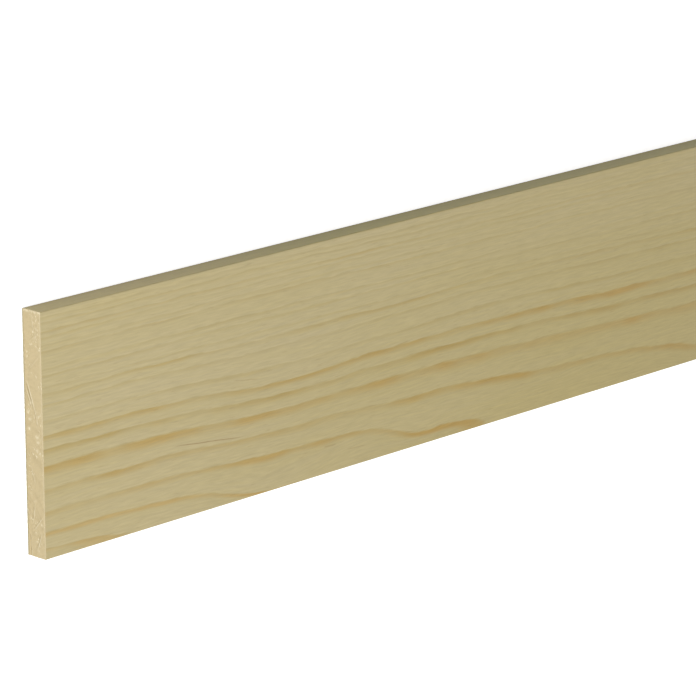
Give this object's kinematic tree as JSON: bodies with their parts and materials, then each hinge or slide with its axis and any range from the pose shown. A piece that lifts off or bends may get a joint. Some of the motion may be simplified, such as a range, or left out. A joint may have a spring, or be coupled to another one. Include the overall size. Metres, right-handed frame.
{
  "type": "skirting board",
  "caption": "Square-edge planed softwood skirting board, one straight length sawn square at both ends, fixed flat against the foot of a wall.",
  "frame": {"origin": "centre of the wall face, which is the face that lies on the floor here", "axes": "+X along the length, +Y across the width towards the edge that is uppermost once the board is fitted, +Z out of the room face"},
  "size_m": [2.4, 0.144, 0.015],
  "materials": {
    "planed_pine": "planed bare softwood, matt with a faint silky sheen along the grain"
  },
  "bodies": {
    "root": {"skirting_board": "planed_pine"}
  },
  "joints": []
}
